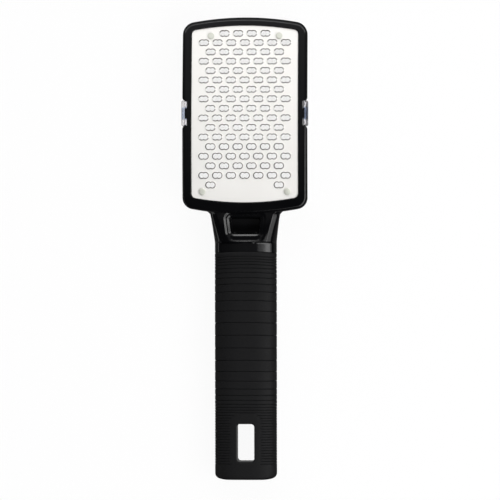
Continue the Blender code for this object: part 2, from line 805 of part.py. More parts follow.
def build():
    for old in list(bpy.data.objects):
        bpy.data.objects.remove(old)
    black_plastic = material("black_plastic", (0.012, 0.013, 0.016), 0.22)
    soft_black = material("soft_black", (0.012, 0.012, 0.013), 0.62)
    steel = material("steel", (0.78, 0.77, 0.75), 0.32, metallic=1.0)
    rivet_metal = material("rivet_metal", (0.55, 0.55, 0.55), 0.4, metallic=1.0)
    clear_plastic = material("clear_plastic", (0.92, 0.94, 0.97), 0.06, transmission=1.0)
    make_body(black_plastic)
    make_sleeve(soft_black)
    make_plate(steel)
    make_rivets(rivet_metal)
    slide = bpy.data.objects.new("catcher_slide", None)
    slide.location = (0, clip_place, crown(clip_place) - rim_depth)
    bpy.context.scene.collection.objects.link(slide)
    make_catcher(clear_plastic, slide)


build()
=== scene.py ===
import bmesh
import bpy
from math import asin, cos, pi, radians, sin, sqrt
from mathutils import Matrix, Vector
from mathutils.geometry import delaunay_2d_cdt


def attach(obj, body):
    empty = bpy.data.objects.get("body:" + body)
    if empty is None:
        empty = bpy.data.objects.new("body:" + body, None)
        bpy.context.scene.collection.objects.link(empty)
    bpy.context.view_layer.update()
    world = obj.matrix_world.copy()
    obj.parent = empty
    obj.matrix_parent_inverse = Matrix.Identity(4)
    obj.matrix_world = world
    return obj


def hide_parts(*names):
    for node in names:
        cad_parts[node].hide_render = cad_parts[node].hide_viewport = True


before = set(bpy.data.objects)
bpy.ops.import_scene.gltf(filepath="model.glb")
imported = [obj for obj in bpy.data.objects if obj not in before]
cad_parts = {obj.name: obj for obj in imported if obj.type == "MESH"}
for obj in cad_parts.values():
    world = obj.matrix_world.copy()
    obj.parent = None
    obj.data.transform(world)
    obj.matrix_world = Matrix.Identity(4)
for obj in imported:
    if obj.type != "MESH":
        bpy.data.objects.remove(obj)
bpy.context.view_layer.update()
MM = 0.001


# Table, lamps and camera. The tool lies on its back on a white table, under large soft lamps, and the
# camera looks down on the rasp from high above the middle of the tool.
def set_inputs(tree, node, inputs):
    """Gives a node's inputs their values, or links them to other nodes' outputs."""
    for place, value in inputs.items():
        if isinstance(value, bpy.types.NodeSocket):
            tree.links.new(value, node.inputs[place])
        else:
            node.inputs[place].default_value = value


def add_node(tree, kind, inputs, **settings):
    """A new node with its settings and its inputs."""
    node = tree.nodes.new(kind)
    for setting, value in settings.items():
        setattr(node, setting, value)
    set_inputs(tree, node, inputs)
    return node


def calculate(tree, operation, *values):
    """Result of an operation on numbers and other nodes' outputs."""
    return add_node(tree, "ShaderNodeMath", dict(enumerate(values)), operation=operation).outputs[0]


def new_material(name):
    """A material with its node tree and its shader."""
    made = bpy.data.materials.new(name)
    made.use_nodes = True
    return made, made.node_tree, made.node_tree.nodes["Principled BSDF"]


def table_finish():
    """White paint in all the light it gives back. The camera sees only a trace of it, which holds the
    shadow, and beyond it the white room, so a piece that is pulled down through the table still shows."""
    made, tree, paint = new_material("white_table")
    set_inputs(tree, paint, {
        "Base Color": (0.92, 0.92, 0.92, 1.0), "Roughness": 0.9, "Specular IOR Level": 0.2})
    rays = add_node(tree, "ShaderNodeLightPath", {}).outputs
    through = rays["Is Transmission Ray"]
    mirror = rays["Is Glossy Ray"]
    only_mirror = calculate(tree, "SUBTRACT", mirror, through)
    only_mirror.node.use_clamp = True
    clear = add_node(tree, "ShaderNodeBsdfTransparent", {})
    glow = add_node(tree, "ShaderNodeEmission", {"Color": (0.15, 0.15, 0.15, 1.0)})
    beyond = add_node(tree, "ShaderNodeMixShader", {
        "Fac": only_mirror, 1: clear.outputs["BSDF"], 2: glow.outputs["Emission"]})
    seen = calculate(tree, "MAXIMUM", rays["Is Camera Ray"], through)
    seen = calculate(tree, "MAXIMUM", seen, mirror)
    see_through = calculate(tree, "MULTIPLY", seen, 0.94)
    blend = add_node(tree, "ShaderNodeMixShader", {
        "Fac": see_through, 1: paint.outputs["BSDF"], 2: beyond.outputs["Shader"]})
    set_inputs(tree, tree.nodes["Material Output"], {"Surface": blend.outputs["Shader"]})
    return made


table_reach = 4.0
table_mesh = bpy.data.meshes.new("table")
table_mesh.from_pydata(
    [(-table_reach, -table_reach, 0.0), (table_reach, -table_reach, 0.0),
     (table_reach, table_reach, 0.0), (-table_reach, table_reach, 0.0)], [], [(0, 1, 2, 3)])
table_mesh.materials.append(table_finish())
table = bpy.data.objects.new("table", table_mesh)
bpy.context.scene.collection.objects.link(table)


def studio_air():
    """The room's own light: brighter past the head, and dim low down at both sides. Its walls look white."""
    sky = bpy.data.worlds.new("studio")
    sky.use_nodes = True
    tree = sky.node_tree
    way = add_node(tree, "ShaderNodeTexCoord", {})
    parts = add_node(tree, "ShaderNodeSeparateXYZ", {0: way.outputs["Generated"]}).outputs
    along = calculate(tree, "MULTIPLY_ADD", parts["Y"], 0.8, 0.22)
    across = calculate(tree, "POWER", parts["X"], 2.0)
    middle = calculate(tree, "MULTIPLY_ADD", across, -0.85, 1.0)
    level = calculate(tree, "MULTIPLY", along, middle)
    limit = add_node(tree, "ShaderNodeClamp", {"Value": level, "Min": 0.04, "Max": 1.0})
    rays = add_node(tree, "ShaderNodeLightPath", {}).outputs
    seen = calculate(tree, "MAXIMUM", rays["Is Camera Ray"], rays["Is Transmission Ray"])
    strength = add_node(tree, "ShaderNodeMix", {"Factor": seen, "A": limit.outputs[0], "B": 1.0})
    set_inputs(tree, tree.nodes["Background"], {
        "Color": (1.0, 1.0, 1.0, 1.0), "Strength": strength.outputs["Result"]})
    return sky


bpy.context.scene.world = studio_air()

# Each lamp is a rectangular soft box that looks at the table under the tool's middle.
for name, place, size, power in (
        ("head_box", (0.0, 1.0, 0.78), (2.4, 0.5), 1.6),
        ("head_strip", (0.0, 1.0, 0.72), (2.4, 0.13), 7.3),
        ("right_box", (1.0, -0.45, 0.75), (1.6, 0.36), 5.0),
        ("right_strip", (0.74, -0.45, 0.92), (1.6, 0.26), 7.6),
        ("right_top_box", (0.55, -0.45, 1.05), (1.6, 0.26), 2.6),
        ("left_box", (-1.1, -0.4, 0.17), (1.2, 0.22), 1.6)):
    light = bpy.data.lights.new(name, "AREA")
    light.shape = "RECTANGLE"
    light.size, light.size_y = size
    light.energy = power
    lamp = bpy.data.objects.new(name, light)
    lamp.location = place
    lamp.rotation_euler = (Vector() - Vector(place)).to_track_quat("-Z", "Y").to_euler()
    bpy.context.scene.collection.objects.link(lamp)

picture_width = 500
pixel_at_crest = 0.5545 * MM
crest_height = 24.0 * MM
view_distance = 2.2
view_lean = radians(2.5)         # the photograph was taken from a little to the tool's right
view_turn = radians(-0.08)
beside = 2.93 * MM
below = 1.0 * MM
lens = bpy.data.cameras.new("camera")
lens.sensor_fit = "HORIZONTAL"
lens.sensor_width = 36.0
lens.lens = lens.sensor_width * view_distance / (picture_width * pixel_at_crest)
lens.clip_start = 0.01
camera = bpy.data.objects.new("camera", lens)
camera.location = (
    beside * cos(view_lean) + view_distance * sin(view_lean), -below,
    crest_height + view_distance * cos(view_lean) - beside * sin(view_lean))
camera.rotation_euler = (0.0, view_lean, view_turn)
bpy.context.scene.collection.objects.link(camera)
bpy.context.scene.camera = camera
bpy.context.scene.view_settings.view_transform = "Standard"


# Head and neck. One hard, glossy black moulding: a frame that stands a little proud of the rasp, with a
# skirt behind it, a notch in each side for the catcher's tab, and a neck with a deep thumb recess.
head_width = 69.4 * MM
head_length = 109.6 * MM
neck_length = 21.0 * MM
grip_length = 126.9 * MM
head_top = (head_length + neck_length + grip_length) / 2
head_foot = head_top - head_length
head_end_radius = 160.0 * MM
head_top_corner = 7.2 * MM
head_foot_corner = 6.4 * MM
crown_radius = 260.0 * MM
crown_place = head_top - 72.5 * MM
lip_height = 0.8 * MM
skirt_depth = 6.5 * MM
skirt_wall = 1.6 * MM
plate_half = head_width / 2 - 5.15 * MM
plate_top = head_top - 4.6 * MM
plate_foot = head_foot + 6.4 * MM
plate_thickness = 0.5 * MM
gap = 0.3 * MM
seat_depth = plate_thickness + gap
flange_foot = seat_depth + 1.8 * MM
clip_place = head_top - 53.7 * MM
clip_length = 13.6 * MM
notch_wall = head_width / 2 - 2.65 * MM
mouth_round = 2.2 * MM


def crown(y):
    """Height of the rasp's face above the table at this place along the tool."""
    return crest_height - crown_radius + sqrt(crown_radius ** 2 - (y - crown_place) ** 2)


def arc(center, radius, start, end, steps):
    """Points along an arc, without its last one."""
    turns = [start + (end - start) * step / steps for step in range(steps)]
    return [(center[0] + radius * cos(turn), center[1] + radius * sin(turn)) for turn in turns]


def head_outline(half_width, top, foot, end_radius, top_corner, foot_corner):
    """Plan outline with straight sides, shallow arcs for ends and rounded corners, from the right foot."""
    side_steps, corner_steps, end_steps = 60, 14, 36

    def corner_turn(corner):
        return asin((half_width - corner) / (end_radius - corner))

    def corner_reach(corner):
        return (end_radius - corner) * cos(corner_turn(corner))

    top_y = top - end_radius + corner_reach(top_corner)
    foot_y = foot + end_radius - corner_reach(foot_corner)
    side = [foot_y + (top_y - foot_y) * step / side_steps for step in range(side_steps)]
    top_turn = pi / 2 - corner_turn(top_corner)
    foot_turn = pi / 2 - corner_turn(foot_corner)
    top_x = half_width - top_corner
    foot_x = half_width - foot_corner
    points = [(half_width, y) for y in side]
    points += arc((top_x, top_y), top_corner, 0, top_turn, corner_steps)
    points += arc((0, top - end_radius), end_radius, top_turn, pi - top_turn, end_steps)
    points += arc((-top_x, top_y), top_corner, pi - top_turn, pi, corner_steps)
    points += [(-half_width, top_y + foot_y - y) for y in side]
    points += arc((-foot_x, foot_y), foot_corner, pi, pi + foot_turn, corner_steps)
    points += arc((0, foot + end_radius), end_radius, pi + foot_turn, 2 * pi - foot_turn, end_steps)
    points += arc((foot_x, foot_y), foot_corner, 2 * pi - foot_turn, 2 * pi, corner_steps)
    return points


def frame_loop(inset):
    """Outline of the frame, drawn in by an inset."""
    corners = [max(corner - inset, corner / 4) for corner in (head_top_corner, head_foot_corner)]
    return head_outline(
        head_width / 2 - inset, head_top - inset, head_foot + inset, head_end_radius - inset, *corners)


def plate_loop(growth=0.0, top=0.0, foot=0.0):
    """Outline of the rasp, grown all round and then drawn in further at its ends."""
    corner = max(2.6 * MM + growth, 1.3 * MM)
    end_radius = head_end_radius - 4.2 * MM + growth
    return head_outline(
        plate_half + growth, plate_top + growth - top, plate_foot - growth + foot,
        end_radius, corner, corner)


def raised(loop, rise):
    """A plan loop lifted onto the crowned surface."""
    return [(x, y, crown(y) + rise) for x, y in loop]


def skin(loops, ring=False):
    """Points and faces of a skin over loops of equal length, closed on itself or capped at both ends."""
    count = len(loops[0])
    points = [point for loop in loops for point in loop]
    faces = []
    bands = len(loops) if ring else len(loops) - 1
    for band in range(bands):
        first = band * count
        second = (band + 1) % len(loops) * count
        for step in range(count):
            after = (step + 1) % count
            faces.append((first + step, first + after, second + after, second + step))
    if not ring:
        faces.append(tuple(range(count)))
        faces.append(tuple(range(len(points) - count, len(points))))
    return points, faces


def smooth_piece(name, points, faces, finish, sharp=pi / 5):
    """An object with smooth faces turned outwards and its sharp edges kept."""
    mesh_data = bpy.data.meshes.new(name)
    mesh_data.from_pydata(points, [], faces)
    shape = bmesh.new()
    shape.from_mesh(mesh_data)
    bmesh.ops.triangulate(shape, faces=shape.faces)
    bmesh.ops.recalc_face_normals(shape, faces=shape.faces)
    shape.to_mesh(mesh_data)
    shape.free()
    mesh_data.shade_smooth()
    mesh_data.set_sharp_from_angle(angle=sharp)
    if finish:
        mesh_data.materials.append(finish)
    made = bpy.data.objects.new(name, mesh_data)
    bpy.context.scene.collection.objects.link(made)
    return made


def carve(piece, operation, tools, sharp=pi / 5):
    """Joins tools to a piece or cuts them from it, and removes them."""
    for tool in tools:
        step = piece.modifiers.new(tool.name, "BOOLEAN")
        step.operation = operation
        step.object = tool
    ready = piece.evaluated_get(bpy.context.evaluated_depsgraph_get())
    result = bpy.data.meshes.new_from_object(ready)
    piece.modifiers.clear()
    piece.data = result
    result.shade_smooth()
    result.set_sharp_from_angle(angle=sharp)
    for tool in tools:
        bpy.data.objects.remove(tool)


def mottle_group():
    """Fine grain and broad patches over a surface: values round 0, for colour, gloss and height."""
    group = bpy.data.node_groups.new("moulded_grain", "ShaderNodeTree")
    for socket in ("Grain per metre", "Patches per metre"):
        group.interface.new_socket(socket, in_out="INPUT", socket_type="NodeSocketFloat")
    for socket in ("Grain", "Patches"):
        group.interface.new_socket(socket, in_out="OUTPUT", socket_type="NodeSocketFloat")
    entry = add_node(group, "NodeGroupInput", {})
    leave = add_node(group, "NodeGroupOutput", {})
    place = add_node(group, "ShaderNodeTexCoord", {})
    for name, detail, rough in (("Grain", 2.0, 0.6), ("Patches", 4.0, 0.55)):
        noise = add_node(group, "ShaderNodeTexNoise", {
            "Vector": place.outputs["Object"], "Scale": entry.outputs[f"{name} per metre"],
            "Detail": detail, "Roughness": rough})
        set_inputs(group, leave, {name: calculate(group, "SUBTRACT", noise.outputs["Fac"], 0.5)})
    return group


moulded_grain = mottle_group()


def add_mottle(tree, grain, patches):
    """The grain's and the patches' values, with so many spots to the metre."""
    fineness = {"Grain per metre": grain, "Patches per metre": patches}
    return add_node(tree, "ShaderNodeGroup", fineness, node_tree=moulded_grain).outputs


def scaled(tree, source, factor, base):
    """Value of a source times a factor, on top of a base."""
    return calculate(tree, "MULTIPLY_ADD", source, factor, base)


def two_tones(tree, share, first, second):
    """A colour between two tones."""
    inputs = {0: share, 6: (*first, 1.0), 7: (*second, 1.0)}
    return add_node(tree, "ShaderNodeMix", inputs, data_type="RGBA").outputs[2]


def fine_bumps(tree, height, strength, distance):
    """Normals of a surface with fine bumps."""
    inputs = {"Height": height, "Strength": strength, "Distance": distance}
    return add_node(tree, "ShaderNodeBump", inputs).outputs["Normal"]


def gloss_black_finish():
    """Glossy moulded black, faintly patchy in tone and gloss."""
    made, tree, shader = new_material("gloss_black_plastic")
    mottle = add_mottle(tree, 2600.0, 60.0)
    share = scaled(tree, mottle["Patches"], 1.4, 0.5)
    set_inputs(tree, shader, {
        "Base Color": two_tones(tree, share, (0.0012, 0.0013, 0.0017), (0.0030, 0.0031, 0.0038)),
        "Roughness": scaled(tree, mottle["Patches"], 0.06, 0.13),
        "Normal": fine_bumps(tree, mottle["Grain"], 0.05, 0.05 * MM),
        "IOR": 1.5,
        "Specular IOR Level": 0.25})
    return made


gloss_black = gloss_black_finish()


def frame_section():
    """The frame's moulded section, as outlines with their heights over the crown: from the rasp's seat over
    the lip and round the skirt to the flange."""
    ledge = plate_loop(-3.4 * MM, -0.8 * MM, 1.6 * MM)
    rounding = 2.0 * MM
    rounding_steps = 10
    section = [
        (ledge, -seat_depth),
        (plate_loop(gap), -seat_depth),
        (plate_loop(gap), lip_height - 0.2 * MM),
        (plate_loop(gap + 0.04 * MM), lip_height - 0.07 * MM),
        (plate_loop(gap + 0.14 * MM), lip_height),
        (plate_loop(gap + 0.5 * MM), lip_height),
        (frame_loop(rounding + 0.3 * MM), lip_height)]
    for step in range(rounding_steps + 1):
        turn = pi / 2 * step / rounding_steps
        outline = frame_loop(rounding * (1 - sin(turn)))
        section.append((outline, lip_height - rounding * (1 - cos(turn))))
    section += [
        (frame_loop(0.0), -skirt_depth / 2),
        (frame_loop(0.0), 0.4 * MM - skirt_depth),
        (frame_loop(0.12 * MM), 0.12 * MM - skirt_depth),
        (frame_loop(0.4 * MM), -skirt_depth),
        (frame_loop(skirt_wall), -skirt_depth),
        (frame_loop(skirt_wall), -flange_foot),
        (ledge, -flange_foot)]
    return [raised(outline, rise) for outline, rise in section]


def notch_loop():
    """Plan of the right-hand notch about the clip's place, with round corners at its mouth."""
    half = clip_length / 2
    side = head_width / 2
    reach = 2.0 * MM
    center = (side - mouth_round, half + mouth_round)
    upper = [
        (notch_wall, half - 0.35 * MM), (notch_wall + 0.1 * MM, half - 0.1 * MM),
        (notch_wall + 0.35 * MM, half)]
    upper += arc(center, mouth_round, -pi / 2, 0, 10)
    upper += [(side, center[1]), (side + reach, center[1])]
    return upper + [(x, -y) for x, y in reversed(upper)]


def upright(name, loop, low, high, place):
    """Upright prism on a plan loop, between two heights over the crown."""
    loops = []
    for rise in (low, high):
        loops.append([(x + place[0], y + place[1], crown(y + place[1]) + rise) for x, y in loop])
    points, faces = skin(loops)
    return smooth_piece(name, points, faces, None)


def nub(name, side):
    """Wedge on the notch's wall that keeps the tab in place."""
    half, reach, depth, taper = 3.1 * MM, 1.25 * MM, 2.3 * MM, 0.4 * MM
    stations = (
        (notch_wall - 0.6 * MM, half, -depth, 0.0),
        (notch_wall + reach - 0.2 * MM, half - 0.3 * MM, 0.3 * MM - depth, -0.3 * MM),
        (notch_wall + reach, half - taper - 0.15 * MM, taper + 0.15 * MM - depth, -taper - 0.15 * MM))
    loops = []
    for out, long_half, low, top in stations:
        corners = ((-long_half, low), (long_half, low), (long_half, top), (-long_half, top))
        loops.append([(side * out, clip_place + y, crown(clip_place + y) + rise) for y, rise in corners])
    points, faces = skin(loops)
    return smooth_piece(name, points, faces, None)


points, faces = skin(frame_section(), ring=True)
head_frame = smooth_piece("head_frame", points, faces, gloss_black)
notches = []
for name, side in (("left", -1), ("right", 1)):
    loop = [(side * x, y) for x, y in notch_loop()]
    notches.append(upright(
        f"notch_{name}", loop, -skirt_depth - 2 * MM, lip_height + 2 * MM, (0.0, clip_place)))
carve(head_frame, "DIFFERENCE", notches)
carve(head_frame, "UNION", [nub("nub_left", -1), nub("nub_right", 1)])

grip_end = -head_top
grip_start = grip_end + grip_length
grip_half = 17.25 * MM
grip_thick = 20.0 * MM
collar_step = 0.4 * MM
collar_length = 5.2 * MM


def clamped(value):
    """A value held between 0 and 1."""
    return min(max(value, 0.0), 1.0)


def eased(value):
    """A value held between 0 and 1, with soft changes at both."""
    held = clamped(value)
    return held * held * (3 - 2 * held)


def smooth_between(table, share):
    """Value at a share between the rows of a table of (share, value), with rounded changes of slope."""
    for index in range(len(table) - 1):
        (s0, v0), (s1, v1) = table[index], table[index + 1]
        if share <= s1:
            before = table[max(index - 1, 0)]
            after = table[min(index + 2, len(table) - 1)]
            m0 = (v1 - before[1]) / (s1 - before[0])
            m1 = (after[1] - v0) / (after[0] - s0) if after[0] > s1 else 0.0
            t = (share - s0) / (s1 - s0)
            width = s1 - s0
            return ((2 * t ** 3 - 3 * t ** 2 + 1) * v0 + (t ** 3 - 2 * t ** 2 + t) * m0 * width
                    + (3 * t ** 2 - 2 * t ** 3) * v1 + (t ** 3 - t ** 2) * m1 * width)
    return table[-1][1]


# Shares of the way from the head to the collar, each with a share of the flare, the rise or the underside.
neck_wide = ((0.0, 1.0), (0.12, 0.84), (0.34, 0.58), (0.62, 0.30), (0.86, 0.07), (1.0, 0.0))
neck_rise = ((0.0, 0.96), (0.12, 0.94), (0.34, 0.84), (0.62, 0.52), (0.86, 0.18), (1.0, 0.0))
neck_under = ((0.0, 0.66), (0.12, 0.50), (0.34, 0.29), (0.62, 0.12), (0.86, 0.02), (1.0, 0.0))


def foot_edge(x):
    """Where the frame's lower end lies at this distance from the middle."""
    return head_foot + head_end_radius - sqrt(head_end_radius ** 2 - x ** 2)


neck_start = head_foot - skirt_wall
neck_end = grip_start + collar_length
pocket_top = head_foot - 1.8 * MM
pocket_foot = pocket_top - 9.5 * MM
pocket_half = 9.0 * MM
pocket_narrowing = 0.12
band_start, band_end = 1.4, 1.7  # the gentle band round the recess, in mm out from its edge
foot_extra = 1.6                 # how much broader it is below the recess
foot_steepness = 1.28            # and how much steeper the steps are there
# Distance out from the recess's edge and depth there, in mm: rim step, band, rounded edge, wall, floor.
pocket_profile = (
    (3.1, 0.0), (3.02, 0.01), (2.95, 0.04), (2.85, 0.085), (1.95, 0.66), (1.84, 0.695),
    (1.74, 0.71), (1.36, 0.72), (1.26, 0.735), (1.16, 0.78), (1.06, 0.835),
    (0.12, 1.34), (0.0, 1.405), (-0.08, 1.48), (-0.14, 1.66),
    (-0.2, 2.1), (-0.78, 7.4), (-0.81, 7.9), (-0.9, 8.0))


def foot_reach(out):
    """How far below the recess's edge a step of its profile lies, in mm."""
    if out < 0:
        return out
    return out / foot_steepness + foot_extra * clamped((out - band_start) / (band_end - band_start))


def pocket_depth(x, y):
    """How far the recess sinks the neck's top at a point. Its steps are worked out in mm."""
    corner = 1.2
    across = (abs(x) - pocket_half + pocket_narrowing * (pocket_top - y)) / MM
    below = (pocket_foot - y) / MM
    if below > foot_reach(band_end):
        below = (below - foot_extra) * foot_steepness
    elif below > foot_reach(band_start):
        share = (below - foot_reach(band_start)) / (foot_reach(band_end) - foot_reach(band_start))
        below = band_start + (band_end - band_start) * share
    elif below > 0:
        below *= foot_steepness
    side = across + corner
    end = max((y - pocket_top) / MM, below) + corner
    away = sqrt(max(side, 0.0) ** 2 + max(end, 0.0) ** 2) + min(max(side, end), 0.0) - corner
    if away >= pocket_profile[0][0]:
        return 0.0
    for (far, high), (near, low) in zip(pocket_profile, pocket_profile[1:]):
        if away >= near:
            return (low + (high - low) * (away - near) / (far - near)) * MM
    return pocket_profile[-1][1] * MM


def neck_station(y):
    """Half width, underside and top of the neck at a place along the tool, and the share of the way down."""
    share = clamped((neck_start - y) / (neck_start - neck_end))
    top = grip_thick - collar_step
    head_low = crown(head_foot) - skirt_depth
    half = grip_half + 1.9 * MM * smooth_between(neck_wide, share)
    low = collar_step + (head_low - collar_step) * smooth_between(neck_under, share)
    high = top + (crown(head_foot) - top) * smooth_between(neck_rise, share)
    return half, low, high, share


def neck_half(y, half_width, low, high, share):
    """Right half of the section from its top middle: a flat, a bevel, the side and the belly. The share is 0
    at the head and 1 at the collar, whose bevel is broader and a little steeper."""
    change = 0.8 * MM
    collar = eased((neck_end + change / 2 - y) / change)
    bevel = (2.2 + 5.2 * collar) * MM
    bevel_drop = (1.08 + 1.8 * collar) * MM
    bend = 0.2 * collar
    crease = 0.04 * (1 - collar) * MM
    shoulder = (1.7 + 1.3 * share + 0.3 * collar) * MM
    shoulder_drop = min((2.6 + 3.0 * share) * MM, (high - low) * 0.36)
    shoulder_start = 0.3             # share of a quarter turn
    shoulder_steps, belly_steps = 8, 10
    belly = min(8.0 * MM, (high - low) * 0.5)
    flat = half_width - shoulder - bevel
    edge = pocket_half - pocket_narrowing * (pocket_top - y)
    reach = min((flat - 0.4 * MM) / (edge + pocket_profile[0][0] * MM), 1.0)
    lines = [0.0, edge * 0.3, edge * 0.6, edge - 1.7 * MM]
    lines += [edge + out * MM for out, _ in reversed(pocket_profile)]
    lines = [x * reach for x in lines] + [flat - 0.25 * MM]
    sag = 0.9 * MM * share ** 2
    points = [(x, high - sag * (x / flat) ** 2) for x in lines]
    side = high - sag
    points.append((flat, side - crease))
    for along in (0.1, 0.25, 0.4, 0.6, 0.8, 0.94):
        fall = bevel_drop * along * (1 - bend + bend * along)
        points.append((flat + bevel * along, side - fall - 0.02 * MM))
    start = (flat + bevel, side - bevel_drop - 0.05 * MM)
    lean = pi / 2 * shoulder_start
    for step in range(1, shoulder_steps + 1):
        turn = pi / 2 * (shoulder_start + (1 - shoulder_start) * step / shoulder_steps)
        points.append((
            start[0] + shoulder * (sin(turn) - sin(lean)) / (1 - sin(lean)),
            start[1] - shoulder_drop * (cos(lean) - cos(turn)) / cos(lean)))
    for step in range(belly_steps + 1):
        turn = pi / 2 * step / belly_steps
        points.append((half_width - belly * (1 - cos(turn)), low + belly * (1 - sin(turn))))
    points += [((half_width - belly) * 0.5, low), (0.0, low)]
    return points


def bowed(x, y):
    """Place along the grip of a ring that curves back towards the grip's sides near the collar."""
    bow = 0.9 * MM
    bow_reach = 72.0 * MM
    fade = max(1 - (grip_start - y) / bow_reach, 0.0)
    return y - bow * fade * (x / grip_half) ** 2


def neck_loops():
    """Sections from inside the frame's skirt down the neck, to the collar and into the grip."""
    loops = []

    def add(y, half_width, low, high, share, place):
        right = neck_half(y, half_width, low, high, share)
        ring = right + [(-x, z) for x, z in reversed(right[1:-1])]
        middle = (low + high) / 2
        loops.append([(x, place(x), z - pocket_depth(x, place(x)) if z > middle else z) for x, z in ring])

    half, low, high, _ = neck_station(neck_start)
    skirt_low = crown(head_foot) - skirt_depth + 0.4 * MM
    # Where the neck leaves the frame: how far in each ring lies and how much broader it is, in mm.
    for inward, extra in ((0.9, 2.9), (0.1, 2.0), (-0.5, 1.25), (-0.9, 0.75), (-1.3, 0.35)):
        under = low + (skirt_low - low) * min(extra / 2.0, 1.0)
        add(neck_start, half + extra * MM, under, high, 0.0, lambda x: foot_edge(x) + inward * MM)
    # A ring at every step of the recess's edge, above and below it, and others between them.
    edges = {round(pocket_top + out * MM, 7) for out, _ in pocket_profile}
    edges |= {round(pocket_foot - foot_reach(out) * MM, 7) for out, _ in pocket_profile}
    places = [y for y in edges if neck_end + 0.1 * MM < y < neck_start - 0.25 * MM]
    places += [pocket_foot + (pocket_top - pocket_foot) * step / 12 for step in range(2, 11)]
    places += [neck_start - 0.1 * MM]
    for y in sorted(places, reverse=True):
        half, low, high, share = neck_station(y)
        add(y, half, low, high, share, lambda x: y)
    half, low, high, share = neck_station(neck_end)
    add(neck_end, half, low, high, share, lambda x: neck_end)
    # Along the collar the rings take on the bow of the grip's.
    for out in (0.3, 0.6, 0.9, 1.2, 1.6, 2.2, 3.0, 3.9, 4.9):
        y = neck_end - out * MM
        near = (neck_end - y) / collar_length
        add(y, half, low, high, share, lambda x: y + (bowed(x, y) - y) * near)
    for y, inset in (
            (grip_start + 0.2 * MM, 0.12), (grip_start + 0.15 * MM, 0.5),
            (grip_start - 3.0 * MM, 0.6), (grip_start - 3.1 * MM, 3.0)):
        add(y, half - inset * MM, low + inset * MM, high - inset * MM, share, lambda x: bowed(x, y))
    return loops


points, faces = skin(neck_loops())
neck = smooth_piece("neck", points, faces, gloss_black, sharp=pi / 4)
for piece in (head_frame, neck):
    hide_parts("body")
    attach(piece, "tool")


# Grip. Soft matte black rubber moulded over the neck's hidden core, ringed by grooves that stand close
# together at both ends and far apart in the middle, with a plain patch round the hang hole.
groove_start = 2.5 * MM
groove_count = 43
groove_depth = 0.4 * MM
half_groove = 0.3 * MM
end_round = 2.2 * MM
hole_place = grip_end + 20.6 * MM
hole_half_x = 4.9 * MM
hole_half_y = 10.5 * MM
patch_half_x = 8.4 * MM
patch_half_y = 14.5 * MM
patch_rise = 0.8 * MM            # how far its middle lies above the hole's


def groove_places():
    """Distance of each groove from the grip's start."""
    middle, reach = 45.4 * MM, 40.4 * MM
    closest, spread = 1.5 * MM, 5.65 * MM
    places = []
    along = groove_start
    for _ in range(groove_count):
        places.append(along)
        away = min(abs(along - middle) / reach, 1.0)
        along += closest + spread * cos(pi / 2 * away)
    return places


def grip_ring(half_width, half_height):
    """Rounded section with a slightly crowned top, as points about the grip's axis."""
    steps = 104
    power = 2 / 3.0                  # 1 would give an ellipse, and less is squarer
    ring = []
    for step in range(steps):
        turn = 2 * pi * step / steps
        c, s = cos(turn), sin(turn)
        x = half_width * (1 if c > 0 else -1) * abs(c) ** power
        z = half_height * (1 if s > 0 else -1) * abs(s) ** power
        ring.append((x, z))
    return ring


def groove_share(x, y):
    """How much of a groove's depth there is at a point: none on the patch round the hole."""
    corner = 3 * MM
    fade = 0.5 * MM
    across = max(abs(x) - patch_half_x + corner, 0.0)
    along = max(abs(y - hole_place - patch_rise) - patch_half_y + corner, 0.0)
    return eased((sqrt(across ** 2 + along ** 2) - corner) / fade)


def grip_stations():
    """Distance from the grip's start, inset and groove depth of each ring, from the collar to the end."""
    slope = ((-1.5, 0.0), (-1.05, 0.0), (-0.72, 0.1), (-0.38, 0.6), (-0.12, 0.96))
    groove = slope + tuple((-offset, dip) for offset, dip in reversed(slope))
    stations = [
        (-0.1 * MM, 0.45 * MM, 0.0), (0.02 * MM, 0.2 * MM, 0.0),
        (0.3 * MM, 0.0, 0.0), (1.0 * MM, 0.0, 0.0)]
    for along in groove_places():
        stations += [(along + half_groove * offset, 0.0, dip * groove_depth) for offset, dip in groove]
    stations += [(grip_length - 6.0 * MM, 0.0, 0.0), (grip_length - 4.0 * MM, 0.0, 0.0)]
    round_steps = 12
    for step in range(round_steps + 1):
        turn = pi / 2 * step / round_steps
        stations.append((grip_length - end_round + end_round * sin(turn), end_round * (1 - cos(turn)), 0.0))
    return stations


def grip_loops():
    """Rings of the grip. Its faces lose their grooves on the patch, and its end curves in at the corners."""
    face_height = 6 * MM
    corner_start, corner_reach, corner_rise = 9.0 * MM, 8.0 * MM, 1.2 * MM
    end_start = grip_length - end_round - 0.1 * MM
    loops = []
    for along, inset, dip in grip_stations():
        y = grip_start - along
        half_width = grip_half - inset
        half_height = grip_thick / 2 - inset
        plain = grip_ring(half_width, half_height)
        deep = grip_ring(half_width - dip, half_height - dip)
        ring = []
        for (x0, z0), (x1, z1) in zip(plain, deep):
            share = groove_share(x0, y) if dip and abs(z0) > face_height else 1.0
            x = x0 + (x1 - x0) * share
            z = z0 + (z1 - z0) * share
            beyond = max(abs(x) - corner_start, 0.0) if along > end_start else 0.0
            rise = corner_rise * (beyond / corner_reach) ** 2
            ring.append((x, bowed(x, y) + rise, grip_thick / 2 + z))
        loops.append(ring)
    return loops


def rounded_box(middle, half_x, half_y, corner, steps):
    """Plan of a box with round corners about a middle."""
    loop = []
    for turn, (side, up) in enumerate(((1, 1), (-1, 1), (-1, -1), (1, -1))):
        start, end = turn * pi / 2, (turn + 1) * pi / 2
        center = (side * (half_x - corner) + middle[0], up * (half_y - corner) + middle[1])
        loop += arc(center, corner, start, end, steps)
        loop.append((center[0] + corner * cos(end), center[1] + corner * sin(end)))
    return loop


